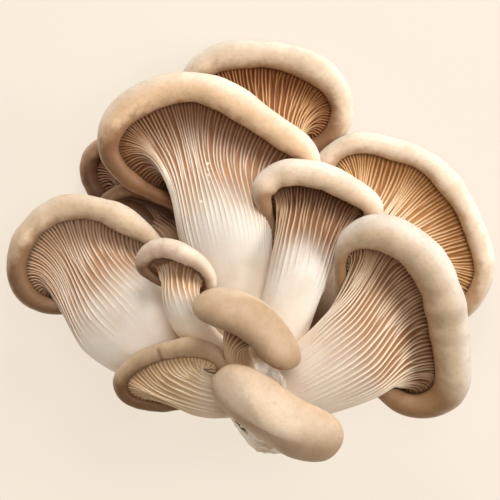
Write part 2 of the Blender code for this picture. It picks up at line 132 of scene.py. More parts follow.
MUSHROOMS = {
    "centre_mushroom": Mushroom(
        margin=(
            (24, 36, 48, 4.5),
            (14.5, 45.3, 48, 5.8),
            (4.5, 52.4, 47, 6.2),
            (-6.5, 59.6, 45, 6.5),
            (-20, 65, 44, 6.5),
            (-42.6, 61, 42, 6.6),
            (-55.3, 49.6, 41, 5.6),
            (-56.5, 39, 39, 4.5),
            (-49, 29, 36, 3.5),
            (-34, 21, 32, 3.2),
            (-14, 16, 29, 3.5),
            (8, 19, 33, 4.0),
            (21, 27, 42, 4.0),
        ),
        stem=((-14, 36, 44, 24, 11), (-12, 18, 51, 23, 11), (-7, -12, 51, 14, 9), (2, -50, 45, 10, 8)),
        neck=0.42,
        dome=13,
        slot="cream_flesh",
        run=-0.05,
        torn=(
            (-17, 35.2, 0.8),
            (-16.9, 32.8, 0.7),
            (-16.8, 30.4, 0.8),
            (-16.5, 28, 0.7),
            (-17.3, 24.6, 0.6),
            (-19.6, 20, 0.8),
        ),
    ),
    "top_back_mushroom": Mushroom(
        margin=(
            (37.7, 57, 15, 4.6),
            (33.2, 68.2, 16, 5.5),
            (19, 76.9, 16, 5.8),
            (0.5, 79.7, 16, 5.8),
            (-15, 77.2, 15, 5.7),
            (-23.8, 69.6, 14, 4.7),
            (-20, 56, 12, 4.0),
            (-6, 47, 11, 4.0),
            (12, 42, 11, 4.0),
            (29, 43, 13, 4.0),
        ),
        stem=((8, 55, 14, 13, 7), (11, 38, 19, 11, 7), (9, 0, 18, 9, 7), (5, -50, 22, 8, 7)),
        neck=0.25,
        dome=11,
        slot="russet_flesh",
        run=-0.3,
    ),
    "left_mushroom": Mushroom(
        margin=(
            (-38.8, 3.6, 42, 3.1),
            (-46.2, 9.4, 40, 4.8),
            (-58, 15.4, 38, 5.0),
            (-73.4, 17.3, 36, 5.0),
            (-86.5, 10.6, 35, 4.8),
            (-93, 0, 34, 4.6),
            (-94, -10, 33, 4.2),
            (-88, -19.5, 31, 3.8),
            (-76, -23, 29, 3.4),
            (-62, -18, 28, 3.2),
            (-46, -10, 32, 3.2),
            (-37, -2, 38, 3.4),
        ),
        stem=((-64, -8, 34, 23, 9), (-59, -24, 40, 24, 9), (-42.5, -38.5, 42, 19, 9), (-8, -54, 42, 11, 8)),
        neck=0.4,
        dome=10,
        slot="cream_flesh",
        run=-0.15,
        flank=-0.1,
        swing=0.5,
    ),
    "centre_right_mushroom": Mushroom(
        margin=(
            (49, 17, 56, 4.5),
            (41, 23.5, 59, 5.2),
            (30, 29, 60, 5.6),
            (19, 31, 60, 5.6),
            (9.5, 29, 59, 5.2),
            (5, 23, 58, 4.2),
            (7.4, 14, 54, 2.0),
            (11, 5, 50, 1.9),
            (22, 0, 48, 2.6),
            (36, 2, 49, 3.6),
            (47, 9, 52, 4.0),
        ),
        stem=((25, 15, 56, 15, 8), (23, 2, 63, 13, 8), (17, -16, 64, 11, 8), (8, -46, 56, 10.5, 7)),
        neck=0.42,
        dome=9,
        slot="cream_flesh",
        run=-0.2,
        swing=0.3,
    ),
    "right_back_mushroom": Mushroom(
        margin=(
            (95.3, -7, 17, 4.1),
            (92.4, 5.5, 18, 4.5),
            (86, 19.9, 19, 4.6),
            (79.2, 29, 20, 5.0),
            (69.7, 37, 20, 4.5),
            (57, 41.3, 20, 4.5),
            (45.6, 43.6, 20, 4.4),
            (33.6, 39.2, 19, 4.4),
            (28.4, 30, 17, 4.2),
            (30, 16, 15, 4.0),
            (40, 0, 13, 4.0),
            (54, -16, 11, 4.0),
            (72, -28, 11, 4.0),
            (88, -23, 14, 4.2),
        ),
        stem=((54, 8, 16, 14, 7), (42, -10, 22, 12, 7), (32, -28, 22, 10, 8), (14, -54, 26, 9, 8)),
        neck=0.35,
        dome=13.2,
        slot="russet_flesh",
        run=-0.3,
    ),
    "right_front_mushroom": Mushroom(
        margin=(
            (80.8, -44, 54, 7.6),
            (79.2, -30, 59, 7.9),
            (77.4, -20, 63, 8.2),
            (72, -8, 68, 8.2),
            (63, 2, 72, 7.9),
            (52.5, 7, 74, 7.4),
            (43, 6, 73, 6.0),
            (37.4, 1, 70, 3.6),
            (36, -10, 64, 2.3),
            (38, -26, 54, 2.7),
            (44, -44, 46, 3.6),
            (56, -58, 43, 4.4),
            (69, -62.4, 44, 5.4),
            (79.6, -56.2, 48, 6.8),
        ),
        stem=(
            (55, -29, 54, 25, 11),
            (45.5, -40, 63, 22.5, 11),
            (33.5, -48, 64, 18, 11),
            (10.5, -58.5, 54, 13, 9),
        ),
        neck=0.42,
        dome=12,
        slot="cream_flesh",
        run=-0.8,
        swing=0.25,
        torn=((58, -56, 1.2), (63, -58.6, 1.1), (68.5, -59, 1.3), (73, -56, 1.1)),
    ),
    "small_left_mushroom": Mushroom(
        margin=(
            (-15.5, -12, 66, 2.2),
            (-19, -6, 67, 3.0),
            (-25, -2.2, 66, 4.0),
            (-33, 0.8, 64, 4.3),
            (-40, -1, 61, 3.8),
            (-43, -6, 58, 2.8),
            (-39, -10.5, 56, 2.2),
            (-31, -14.5, 56, 2.0),
            (-22, -17.5, 59, 2.0),
            (-16.5, -16.5, 63, 2.0),
        ),
        stem=((-29, -8, 61, 9, 5), (-28, -18, 66, 9, 5), (-28, -34, 58, 8, 5), (-4, -46, 54, 6, 5)),
        neck=0.35,
        dome=6,
        slot="tan_flesh",
        run=-0.3,
        gill_depth=0.8,
    ),
    "small_low_left_mushroom": Mushroom(
        margin=(
            (-11, -44, 66, 3.2),
            (-18, -39.5, 66, 3.8),
            (-29, -39, 64, 3.8),
            (-39, -41.5, 61, 3.6),
            (-47, -46, 57, 3.4),
            (-51.5, -52, 54, 3.0),
            (-49.5, -58, 51, 2.6),
            (-42, -61.5, 50, 2.4),
            (-30, -62, 52, 2.4),
            (-18, -58, 56, 2.6),
            (-11, -51, 62, 2.8),
        ),
        stem=((-32, -51, 56, 11, 6), (-23, -57.5, 63, 11, 6), (-12, -60.5, 63, 9, 6), (0, -58, 56, 8, 6)),
        neck=0.38,
        dome=6,
        slot="tan_flesh",
        run=-0.8,
        swing=0.3,
        nicks=((-35.6, -39.6),),
        tuck=150,
        lift=0.4,
        follow=0.25,
        gill_depth=0.8,
    ),
    "front_upper_mushroom": Mushroom(
        margin=(
            (-17, -25, 86, 3.4),
            (-19, -21, 80, 3.4),
            (-14, -18, 76, 3.4),
            (-5, -22.7, 73, 3.5),
            (4.3, -31, 73, 3.6),
            (12.3, -38.2, 75, 3.8),
            (16, -42, 80, 4.0),
            (11.5, -43, 86, 3.8),
            (4, -36.5, 89, 3.8),
            (-6, -29.5, 89, 3.6),
        ),
        stem=((-3, -31, 81, 7, 5), (-7, -36, 78, 6, 5), (-7, -41, 70, 5, 5), (0, -52, 58, 5, 5)),
        neck=0.4,
        dome=9,
        slot="tan_flesh",
        run=-0.4,
        gill_depth=0.8,
    ),
    "front_lower_mushroom": Mushroom(
        margin=(
            (32.2, -73.3, 82, 5.0),
            (28, -78.3, 79, 5.2),
            (22, -77.8, 78, 5.4),
            (12, -72, 77, 5.4),
            (2.5, -65.5, 77, 5.4),
            (-5.5, -59.3, 78, 5.2),
            (-10.5, -53, 80, 5.0),
            (-7, -49.5, 84, 4.6),
            (3, -52, 86, 4.4),
            (13, -59, 86, 4.4),
            (27, -67.3, 85, 4.7),
        ),
        stem=((11, -64, 80, 9, 6), (10, -62, 74, 8, 6), (9, -62, 68, 7, 6), (8, -64, 56, 7, 6)),
        neck=0.4,
        dome=9.5,
        slot="tan_flesh",
        run=-0.3,
        gill_depth=0.8,
    ),
    "left_back_upper_mushroom": Mushroom(
        margin=(
            (-41, 28.8, 9, 3.2),
            (-47.5, 38.2, 9, 3.2),
            (-56, 42.7, 9, 3.4),
            (-63.7, 40, 9, 3.6),
            (-66, 32.8, 9, 3.6),
            (-64, 25.6, 9, 3.6),
            (-58.6, 19.4, 9, 3.4),
            (-50, 15, 9, 3.2),
            (-41, 19, 9, 3.2),
        ),
        stem=((-52, 29, 10, 8, 4), (-42, 16, 13, 7, 4), (-24, -10, 10, 6, 4.5), (-5, -52, 12, 6, 5)),
        neck=0.25,
        dome=7.6,
        slot="tan_flesh",
        run=-0.3,
        gill_depth=0.8,
    ),
    "left_back_lower_mushroom": Mushroom(
        margin=(
            (-28, 14, 23, 2.8),
            (-33, 19.5, 23, 2.8),
            (-43, 23.2, 23, 3.0),
            (-53.8, 22.9, 23, 3.4),
            (-57.6, 19.2, 23, 3.6),
            (-51, 17.4, 23, 3.4),
            (-43, 13, 23, 3.2),
            (-37, 6, 23, 3.0),
            (-30, 4, 23, 2.8),
        ),
        stem=((-38, 14, 23, 6, 4), (-31, 6, 26, 6, 4), (-20, -12, 25, 6, 5), (-4, -50, 30, 6, 5)),
        neck=0.25,
        dome=4,
        slot="tan_flesh",
        run=-0.3,
        gill_depth=0.8,
    ),
}

# The fused base as slices across Y, from the side the stems grow out of to the butt: y, the middle in x and
# z, and the half sizes in x and z.
BASE_SLICES = (
    (-42, 2, 38, 5, 12),
    (-45, 2, 36, 12, 27),
    (-51, 3, 33, 16, 34),
    (-58, 3.5, 33, 16, 35),
    (-64, 4.5, 33, 14, 34),
    (-70, 6.6, 32, 12.4, 30),
    (-76, 8.6, 31, 10.4, 24),
    (-80.4, 10, 30, 7.4, 16),
    (-82, 11, 30, 3, 7),
)

# The skin of each mushroom: its rim, the roll of its margin, the part that turns in, and its top. The pale
# rim is partly painted highlight and the brown inner part partly painted shade.
SKIN_TONES = {
    "centre_mushroom": ((242, 228, 208), (232, 200, 164), (154, 112, 78), (196, 160, 122)),
    "top_back_mushroom": ((240, 230, 214), (222, 200, 174), (160, 122, 88), (190, 156, 120)),
    "left_mushroom": ((234, 216, 194), (218, 192, 162), (150, 114, 82), (176, 142, 108)),
    "centre_right_mushroom": ((238, 226, 210), (228, 204, 178), (192, 158, 124), (194, 160, 124)),
    "right_back_mushroom": ((242, 234, 220), (232, 212, 188), (196, 160, 122), (190, 158, 122)),
    "right_front_mushroom": ((222, 212, 200), (206, 184, 156), (190, 154, 117), (190, 156, 120)),
    "small_left_mushroom": ((236, 220, 202), (220, 196, 172), (150, 116, 88), (176, 144, 112)),
    "small_low_left_mushroom": ((210, 186, 156), (198, 168, 136), (150, 116, 84), (166, 134, 100)),
    "front_upper_mushroom": ((206, 180, 152), (202, 174, 144), (150, 112, 76), (220, 196, 168)),
    "front_lower_mushroom": ((210, 184, 156), (206, 178, 148), (150, 112, 76), (218, 196, 170)),
    "left_back_upper_mushroom": ((214, 188, 164), (176, 142, 114), (112, 80, 58), (150, 118, 90)),
    "left_back_lower_mushroom": ((196, 168, 140), (166, 134, 104), (118, 86, 62), (150, 118, 90)),
}

# The flesh of each: the edges of its gills, the clefts between them, its stem, the tint at the margin and its
# foot. The clefts and the margin tint are partly painted shade, and the brown feet of the back stems are
# painted shade.
GILL_TONES = {
    "centre_mushroom": (
        (255, 242, 224), (192, 146, 108), (230, 222, 210), (164, 130, 100), (232, 218, 200),
    ),
    "top_back_mushroom": (
        (228, 190, 142), (150, 94, 50), (232, 214, 188), (206, 178, 150), (150, 118, 90),
    ),
    "left_mushroom": (
        (250, 232, 212), (198, 156, 120), (248, 236, 222), (214, 196, 180), (246, 232, 216),
    ),
    "centre_right_mushroom": (
        (206, 175, 141), (142, 100, 65), (234, 226, 216), (150, 116, 88), (236, 226, 212),
    ),
    "right_back_mushroom": (
        (255, 240, 218), (188, 146, 96), (246, 232, 212), (232, 202, 160), (122, 94, 68),
    ),
    "right_front_mushroom": (
        (240, 219, 193), (160, 117, 78), (238, 226, 210), (208, 184, 162), (240, 226, 208),
    ),
    "small_left_mushroom": (
        (242, 219, 190), (194, 150, 108), (255, 243, 226), (190, 162, 136), (255, 236, 212),
    ),
    "small_low_left_mushroom": (
        (246, 226, 196), (208, 176, 136), (246, 228, 204), (234, 218, 200), (236, 214, 186),
    ),
    "front_upper_mushroom": (
        (214, 180, 142), (140, 98, 62), (214, 184, 150), (190, 160, 136), (206, 176, 142),
    ),
    "front_lower_mushroom": (
        (226, 196, 160), (150, 108, 70), (222, 196, 164), (190, 160, 136), (214, 186, 154),
    ),
    "left_back_upper_mushroom": (
        (206, 172, 148), (138, 102, 78), (200, 168, 142), (204, 180, 162), (150, 122, 98),
    ),
    "left_back_lower_mushroom": (
        (200, 166, 140), (130, 96, 74), (196, 164, 138), (204, 180, 162), (150, 122, 98),
    ),
}


def unit(vectors):
    """The vectors at length one."""
    return vectors / np.linalg.norm(vectors, axis=-1, keepdims=True)


def smoothstep(low, high, value):
    """0 below low, 1 above high and a smooth rise between."""
    share = np.clip((value - low) / (high - low), 0, 1)
    return share * share * (3 - 2 * share)


def smooth_loop(points):
    """A closed cubic curve through the points, with no kink in its slope or bend, sampled evenly."""
    knots = np.array(points, float)
    count = len(knots)
    after = np.roll(knots, -1, axis=0) - knots
    spans = np.linalg.norm(after[:, :3], axis=1)
    system = np.zeros((count, count))
    wanted = np.zeros_like(knots)
    for i in range(count):
        left, right = spans[i - 1], spans[i]
        system[i, i - 1] += right
        system[i, i] += 2 * (left + right)
        system[i, (i + 1) % count] += left
        wanted[i] = 3 * (right / left * after[i - 1] + left / right * after[i])
    slopes = np.linalg.solve(system, wanted)
    share = np.linspace(0, 1, 60, endpoint=False)[:, None]
    pieces = []
    for i in range(count):
        start, end = knots[i], knots[(i + 1) % count]
        out, into = slopes[i] * spans[i], slopes[(i + 1) % count] * spans[i]
        pieces.append(
            start * (1 + 2 * share) * (1 - share) ** 2
            + out * share * (1 - share) ** 2
            + end * share**2 * (3 - 2 * share)
            + into * share**2 * (share - 1)
        )
    return evenly(np.concatenate(pieces))


def evenly(loop, start=0.0):
    """A closed run of points read again at even steps along its length, from the share start onwards."""
    closed = np.vstack([loop, loop[:1]])
    steps = np.linalg.norm(np.diff(closed[:, :3], axis=0), axis=1)
    along = np.concatenate([[0], np.cumsum(steps)]) / steps.sum()
    at = (start + np.arange(CURVE_SAMPLES) / CURVE_SAMPLES) % 1
    return np.stack([np.interp(at, along, closed[:, k]) for k in range(closed.shape[1])], axis=1)


def bezier(controls, share):
    """The point of a Bezier curve of any degree, by repeated halving of its control points."""
    layer = list(controls)
    while len(layer) > 1:
        layer = [a + (b - a) * share for a, b in zip(layer, layer[1:])]
    return layer[0]


def facing(loop):
    """The direction a closed loop faces, by the right-hand rule."""
    return unit(np.cross(loop, np.roll(loop, -1, axis=0)).sum(axis=0))


class Spot(NamedTuple):
    """Places on a margin, as arrays of one shape."""

    line: np.ndarray  # the middle of the roll
    radius: np.ndarray  # of the roll
    outward: np.ndarray  # the way out of the cap
    front: np.ndarray  # the way to the gills
    cosine: np.ndarray  # with the sine, the place round the stem
    sine: np.ndarray


class Form:
    """The smooth skin of one mushroom at any turn round its margin, a turn being a share of its length."""

    def __init__(self, shape):
        margin = smooth_loop(shape.margin)
        self.shape = shape
        self.controls = np.array(shape.stem, float)
        heart, foot = self.controls[0, :3], self.controls[-1, :3]
        self.gill_side = facing(margin[:, :3])
        ahead = heart - foot
        ahead = unit(ahead - ahead @ self.gill_side * self.gill_side)
        self.across = np.cross(ahead, self.gill_side)
        sideways = (margin[:, :3] - heart) @ self.across
        first = int(np.argmax(sideways))
        opposite = ((int(np.argmin(sideways)) - first) % CURVE_SAMPLES) / CURVE_SAMPLES
        margin = evenly(margin, first / CURVE_SAMPLES)
        share = np.arange(CURVE_SAMPLES) / CURVE_SAMPLES
        turn = np.interp(share, [0, opposite, 1], [0, math.pi, 2 * math.pi])
        line = margin[:, :3]
        self.length = np.linalg.norm(line - np.roll(line, 1, axis=0), axis=1).sum()
        along = unit(np.roll(line, -1, axis=0) - np.roll(line, 1, axis=0))
        outward = unit(np.cross(along, self.gill_side))
        front = np.cross(outward, along)
        self.table = np.column_stack([line, margin[:, 3], outward, front, np.cos(turn), np.sin(turn)])

    def margin(self, turns):
        """The spots on the margin at the turns."""
        at = (turns % 1) * CURVE_SAMPLES
        low = np.floor(at).astype(int)
        blend = (at - low)[..., None]
        row = self.table[low % CURVE_SAMPLES] * (1 - blend) + self.table[(low + 1) % CURVE_SAMPLES] * blend
        return Spot(*np.split(row, [3, 4, 7, 10, 11], axis=-1))

    def roll(self, turns, degrees, swell=0.0):
        """The skin of the rolled margin: 180 degrees is towards the gills and 0 is outwards."""
        spot = self.margin(turns)
        angle = np.radians(degrees)
        way = np.cos(angle) * spot.outward + np.sin(angle) * spot.front
        return spot.line + spot.radius * (1 + swell) * way

    def stem(self, turns, share):
        """The skin of the stem, from the neck at share 0 to the foot at share 1, and the way to the cap."""
        at = self.shape.neck + (1 - self.shape.neck) * share
        centre = bezier(self.controls, at[..., None])
        nearer = bezier(self.controls, at[..., None] - 0.01)
        to_cap = unit(nearer[..., :3] - centre[..., :3])
        wide = unit(self.across - (to_cap @ self.across)[..., None] * to_cap)
        deep = np.cross(wide, to_cap)
        spot = self.margin(turns)
        skin = centre[..., :3] + centre[..., 3:4] * spot.cosine * wide + centre[..., 4:5] * spot.sine * deep
        return skin, to_cap

    def gills(self, turns, share):
        """The side of the cap that the gills cover, from the neck at share 0 to the margin at share 1."""
        neck, to_cap = self.stem(turns, np.zeros_like(share))
        edge = self.roll(turns, self.shape.tuck)
        spot = self.margin(turns)
        reach = np.linalg.norm(edge - neck, axis=-1, keepdims=True)
        inward = np.clip(np.sum((edge - neck) * spot.outward, axis=-1, keepdims=True) / reach, 0.15, 1)
        handle = 0.42 * reach * (self.shape.swing + (1 - self.shape.swing) * inward)
        controls = (
            neck,
            neck + handle * self.shape.follow * to_cap,
            edge - handle * (spot.outward - self.shape.lift * spot.front),
            edge,
        )
        return bezier(controls, share[..., None])

    def lit(self, turns):
        """How far the margin faces the side the light comes from, from -1 to 1; the skins paint shade on the
        side facing away.
        """
        return self.margin(turns).outward @ LIGHT_SIDE

    def crown(self):
        """The highest point of the cap's top."""
        back = self.roll(np.arange(CURVE_SAMPLES) / CURVE_SAMPLES, -90)
        return back.mean(axis=0) - self.shape.dome * self.gill_side

    def top(self, turns, share):
        """The cap's top, in one sweep from the outermost line of the roll at share 0 to the crown at 1."""
        rim, crown = self.roll(turns, 0), self.crown()
        spot = self.margin(turns)
        radial = rim - crown
        radial = radial - (radial @ self.gill_side)[..., None] * self.gill_side
        controls = (
            rim,
            rim - 0.35 * (spot.radius + self.shape.dome) * spot.front,
            crown + 0.45 * radial,
            crown + 0 * radial,
        )
        return bezier(controls, share[..., None])


def every_form():
    """The skins of all the mushrooms."""
    return {name: Form(shape) for name, shape in MUSHROOMS.items()}


def tube(name, rings, marks):
    """A closed mesh object: a grid rolled into a tube on the rings, each end ring being one point.

    rings holds x, y, z by ring and column in millimetres. marks are values of the same grid, which the mesh
    keeps as attributes.
    """
    ring_count, columns = rings.shape[:2]
    bm = bmesh.new()
    bmesh.ops.create_grid(bm, x_segments=columns, y_segments=ring_count - 1, size=1)
    mesh = bpy.data.meshes.new(name)
    bm.to_mesh(mesh)
    bm.free()
    flat = np.empty(len(mesh.vertices) * 3)
    mesh.vertices.foreach_get("co", flat)
    flat = flat.reshape(-1, 3)
    ring = np.rint((flat[:, 1] + 1) / 2 * (ring_count - 1)).astype(int)
    column = np.rint((flat[:, 0] + 1) / 2 * columns).astype(int) % columns
    points = rings[ring, column] * MM + PLACE
    points[:, 2] = np.maximum(points[:, 2], 0)
    mesh.vertices.foreach_set("co", points.ravel())
    for mark, values in marks.items():
        layer = mesh.attributes.new(mark, "FLOAT", "POINT")
        layer.data.foreach_set("value", values[ring, column].astype(np.float32))
    bm = bmesh.new()
    bm.from_mesh(mesh)
    bmesh.ops.remove_doubles(bm, verts=bm.verts, dist=1e-7)
    bmesh.ops.recalc_face_normals(bm, faces=bm.faces)
    bm.to_mesh(mesh)
    bm.free()
    mesh.shade_smooth()
    piece = bpy.data.objects.new(name, mesh)
    bpy.context.scene.collection.objects.link(piece)
    return piece


def normals_of(grid, inside):
    """The outward normals of a closed grid of rings and columns, away from the points inside it."""
    across = np.roll(grid, -1, axis=1) - np.roll(grid, 1, axis=1)
    along = np.gradient(grid, axis=0)
    normal = np.cross(across, along)
    normal /= np.maximum(np.linalg.norm(normal, axis=-1, keepdims=True), 1e-9)
    flip = np.sign(np.sum(normal * (grid - inside), axis=-1).mean())
    return normal * flip


def padded(values, before, after=0):
    """Values of a grid, its first and last rings repeated for the hidden rings added to it."""
    first, last = values[:1], values[-1:]
    return np.concatenate([np.repeat(first, before, axis=0), values, np.repeat(last, after, axis=0)])


def closeness(points, x, y, reach):
    """1 at the spot x, y, dying away over the reach."""
    return np.exp(-((points[..., 0] - x) ** 2 + (points[..., 1] - y) ** 2) / reach**2)


class Gills(NamedTuple):
    """The gills of one mushroom, with one value for each."""

    short: np.ndarray  # whether it starts at the margin and ends before the neck
    ends: np.ndarray  # the place where it has died away
    lean: np.ndarray  # how far it leans over as it ends, in pitches
    sway: np.ndarray  # where its own wander is read
    height: np.ndarray


def grown_gills(run, draw):
    """Gills that end where they like, each long one near its run. Every other one is short."""
    count = len(run)
    short = np.arange(count) % 2 == 1
    ends, lean, sway = np.empty(count), np.zeros(count), np.empty(count)
    for k in range(count):
        if short[k]:
            ends[k] = draw.uniform(*SHORT_ENDS)
            lean[k] = draw.choice(LEANS)
        else:
            ends[k] = run[k] + draw.uniform(0, RAGGED_ENDS)
        sway[k] = draw.uniform(0, 50)
    height = np.array([draw.uniform(0.7, 1.0) for _ in range(count)]) - 0.12 * short
    return Gills(short, ends, lean, sway, height)


def strays(gills, steps, seed):
    """How far each gill strays from its even place, in pitches, at each step along the mushroom."""
    wander = np.empty((len(steps), len(gills.ends)))
    for k, sway in enumerate(gills.sway):
        for i, step in enumerate(steps):
            shared = noise.noise(Vector((k * 0.14, step * 2.3, seed)))
            own = noise.noise(Vector((sway, step * 4.0, 0.5)))
            wander[i, k] = 0.55 * shared + 0.30 * own
    merging = smoothstep(0, 0.25, gills.ends + 0.12 - steps[:, None]) * gills.lean * gills.short
    return wander * smoothstep(-1.0, -0.2, steps)[:, None] + merging


def nearest_gill(phase):
    """The nearest gill by number, and how far away its edge is as a share of the pitch."""
    gill = np.floor(phase + 0.5)
    return gill.astype(int), phase - gill


def soften_neck(skin, place):
    """Smooths the bend between the stem and the gills, in place."""
    near = np.exp(-((place[1:-1] / 0.16) ** 2))[..., None]
    for _ in range(14):
        calm = (skin[:-2] + 2 * skin[1:-1] + skin[2:]) / 4
        skin[1:-1] += near * (calm - skin[1:-1])


def ridges(skin, phase, place, gills):
    """How high the nearest gills stand, from 0 between them to 1 on an edge."""
    count = len(gills.ends)
    gill, across = nearest_gill(phase)
    pitch = np.linalg.norm(np.roll(skin, -1, axis=1) - np.roll(skin, 1, axis=1), axis=-1)
    pitch = pitch / ((np.roll(phase, -1) - np.roll(phase, 1)) % count)
    ridge = np.zeros(place.shape)
    for step in (-1, 0, 1):
        near = (gill + step) % count
        fade = np.where(gills.short, 0.12, 0.22)[near]
        tall = smoothstep(-fade, fade, place - gills.ends[near]) * gills.height[near]
        gap = np.abs(across - step) * pitch
        ridge = np.maximum(ridge, tall * np.exp(-((gap / GILL_WIDTH) ** 2)))
    return ridge


def stem_folds(turns, steps, seed):
    """The rise and fall of soft folds that run along the stem."""
    folds = np.empty((len(steps), len(turns)))
    for i, step in enumerate(steps):
        folds[i] = [noise.noise(Vector((turn * 16, step * 0.9, seed))) for turn in turns]
    return folds


def torn_edges(shape, skin):
    """Where the edges of the gills are torn, from 0 to 1."""
    torn = np.zeros(skin.shape[:2])
    for x, y, radius in shape.torn:
        torn = np.maximum(torn, closeness(skin, x, y, radius))
    return torn


def gills_and_stem(name, form, draw):
    """The stem and the gills that run down it, cut as real blades into the surface."""
    shape = form.shape
    count = round(form.length / GILL_PITCH)
    phase = (np.arange(count)[:, None] + np.array(GILL_COLUMNS)).ravel()
    stem_steps = -np.linspace(1, 0, STEM_RINGS, endpoint=False)
    steps = np.concatenate([stem_steps, np.linspace(0, 1, GILL_RINGS) ** 0.9])
    place = steps[:, None] * np.ones_like(phase)
    turn_row = np.arange(len(phase)) / len(phase)
    spot = form.margin(turn_row)
    run = np.maximum(shape.run - shape.flank * spot.cosine[:, 0] ** 2, DEEPEST_RUN)
    gills = grown_gills(run[:: len(GILL_COLUMNS)], draw)

    wander = strays(gills, steps, form.length)
    gill, across = nearest_gill(phase)
    own, next_one = wander[:, gill % count], wander[:, (gill + np.sign(across).astype(int)) % count]
    blend = np.abs(across)
    turns = (phase + own * (1 - blend) + next_one * blend) / count
    skin = np.where(
        (place >= 0)[..., None],
        form.gills(turns, np.clip(place, 0, 1)),
        form.stem(turns, np.clip(-place, 0, 1))[0],
    )
    soften_neck(skin, place)

    ridge = ridges(skin, phase, place, gills)
    flare = smoothstep(run - 0.1, 0.75, place)
    torn = torn_edges(shape, skin)
    folds = stem_folds(turns[0], steps, form.length)
    depth = shape.gill_depth * (0.04 + 0.96 * flare) * smoothstep(-1.0, run + 0.1, place) * (1 - ridge)
    depth += FOLD_DEPTH * smoothstep(0.6, 0.0, place) * smoothstep(-1.0, -0.6, place) * (0.5 - folds)
    depth += TORN_DEPTH * torn * ridge
    inside = bezier(form.controls, np.clip(shape.neck * (1 - place), 0, 1)[..., None])[..., :3]
    skin = skin - normals_of(skin, inside) * depth[..., None]

    foot_end = form.controls[-1, :3] + 0 * spot.line
    back = form.top(turn_row, 0.4 + 0 * turn_row) + GILL_BACK * form.gill_side
    hidden = form.crown() + GILL_BACK * form.gill_side + 0 * spot.line
    rings = np.concatenate([foot_end[None], skin, np.stack([spot.line, back, hidden])])
    # lit: how far each column faces the light, read by the flesh to paint shade on the side facing away.
    lit = form.lit(turn_row) + 0 * place
    marks = {"ridge": ridge, "place": place, "flare": flare, "lit": lit, "torn": torn}
    marks = {mark: padded(values, 1, 3) for mark, values in marks.items()}
    return tube(name + "_gills_and_stem", rings, marks)


def swelling(turns, seed):
    """How much thicker or thinner than its radius the roll is at the turns."""
    around = turns * math.tau
    return np.array([0.08 * noise.noise(Vector((4 * math.cos(a), 4 * math.sin(a), seed))) for a in around])


def unevenness(skin):
    """The slow rise and fall of a cap's skin, in millimetres."""
    rise = np.empty(skin.shape[:2])
    for i, row in enumerate(skin):
        for j, point in enumerate(row):
            p = Vector(point)
            rise[i, j] = 0.6 * noise.noise(p / 17) + 0.15 * noise.noise(p / 6.5) + 0.03 * noise.noise(p / 2.2)
    return rise


def cracks(shape, line, degrees):
    """How deep the cracks across the rolled margin are, from 0 to 1."""
    crack = np.zeros(len(line))
    for x, y in shape.nicks:
        crack = np.maximum(crack, closeness(line, x, y, NICK_WIDTH))
    return crack * (smoothstep(10, 60, degrees) * smoothstep(200, 140, degrees))[:, None]


def cap(name, form, draw):
    """The cap: its rolled margin, its domed top, and a floor hidden under the gills."""
    turns = np.arange(CAP_COLUMNS) / CAP_COLUMNS
    degrees = np.concatenate([np.linspace(245, 0, ROLL_RINGS), np.zeros(DOME_RINGS)])
    share = np.concatenate([np.zeros(ROLL_RINGS), np.linspace(0, 1, DOME_RINGS + 1)[1:] ** 1.2])
    all_turns = np.tile(turns, (len(degrees), 1))
    swell = swelling(turns, draw.uniform(0, 90))
    roll = form.roll(all_turns, degrees[:, None, None], swell[:, None])
    top = form.top(all_turns, share[:, None] * np.ones(CAP_COLUMNS))
    skin = np.where(share[:, None, None] > 0, top, roll)
    blend = smoothstep(0.0, 0.35, share[ROLL_RINGS:])[:, None, None]
    skin[ROLL_RINGS:] += (1 - blend) * (roll[ROLL_RINGS - 1] - form.roll(turns, 0))

    normal = normals_of(skin, skin.mean(axis=(0, 1)))
    normal[:ROLL_RINGS] = unit(skin[:ROLL_RINGS] - form.margin(all_turns[:ROLL_RINGS]).line)
    calm = smoothstep(240, 190, degrees)[:, None] * (1 - share[:, None] ** 8)
    nick = cracks(form.shape, form.margin(turns).line, degrees)
    skin = skin + normal * (unevenness(skin) * calm - NICK_DEPTH * nick)[..., None]

    floor = form.top(turns, 0.4 + 0 * turns) + CAP_FLOOR * form.gill_side
    inside = form.crown() + CAP_FLOOR * form.gill_side + 0 * floor
    rings = np.concatenate([np.stack([inside, floor]), skin])
    rings[-1] = rings[-1].mean(axis=0)
    # 2 on the inner side of the roll, 0 on its outermost line and -3 at the crown.
    around = (degrees[:, None] / 90) - share[:, None] * 3 + np.zeros(CAP_COLUMNS)
    # lit: how far the cap faces the light, read by the skin to paint shade on the side facing away.
    marks = {"around": around, "lit": form.lit(turns) + 0 * around, "nick": nick}
    return tube(name + "_cap", rings, {mark: padded(values, 2) for mark, values in marks.items()})


def base_shapes(forms):
    """The butt and the foot of each stem, as closed shapes that overlap."""
    turn = np.arange(BASE_COLUMNS) * math.tau / BASE_COLUMNS
    slices = []
    for y, x, z, half_x, half_z in BASE_SLICES:
        around = np.stack([np.cos(turn) * (half_x + 0.3), 0 * turn, np.sin(turn) * (half_z - 0.5)], axis=1)
        slices.append(np.array([x, y, z]) + around)
    start, butt = (end.mean(axis=0) + 0 * end for end in (slices[0], slices[-1]))
    shapes = [tube("base_lump", np.array([start, *slices, butt]), {})]
    for form in forms.values():
        share = np.linspace(ROOT_START, 1.0, ROOT_RINGS)[:, None] * np.ones(BASE_COLUMNS)
        skin, _ = form.stem(np.tile(np.arange(BASE_COLUMNS) / BASE_COLUMNS, (ROOT_RINGS, 1)), share)
        middle = skin.mean(axis=1, keepdims=True)
        grow = 1 + 0.12 * smoothstep(ROOT_START, 0.9, share)[..., None] - 0.04
        skin = middle + (skin - middle) * grow
        rings = np.concatenate([middle[:1] + 0 * skin[:1], skin, middle[-1:] + 0 * skin[:1]])
        shapes.append(tube("base_root", rings, {}))
    return shapes


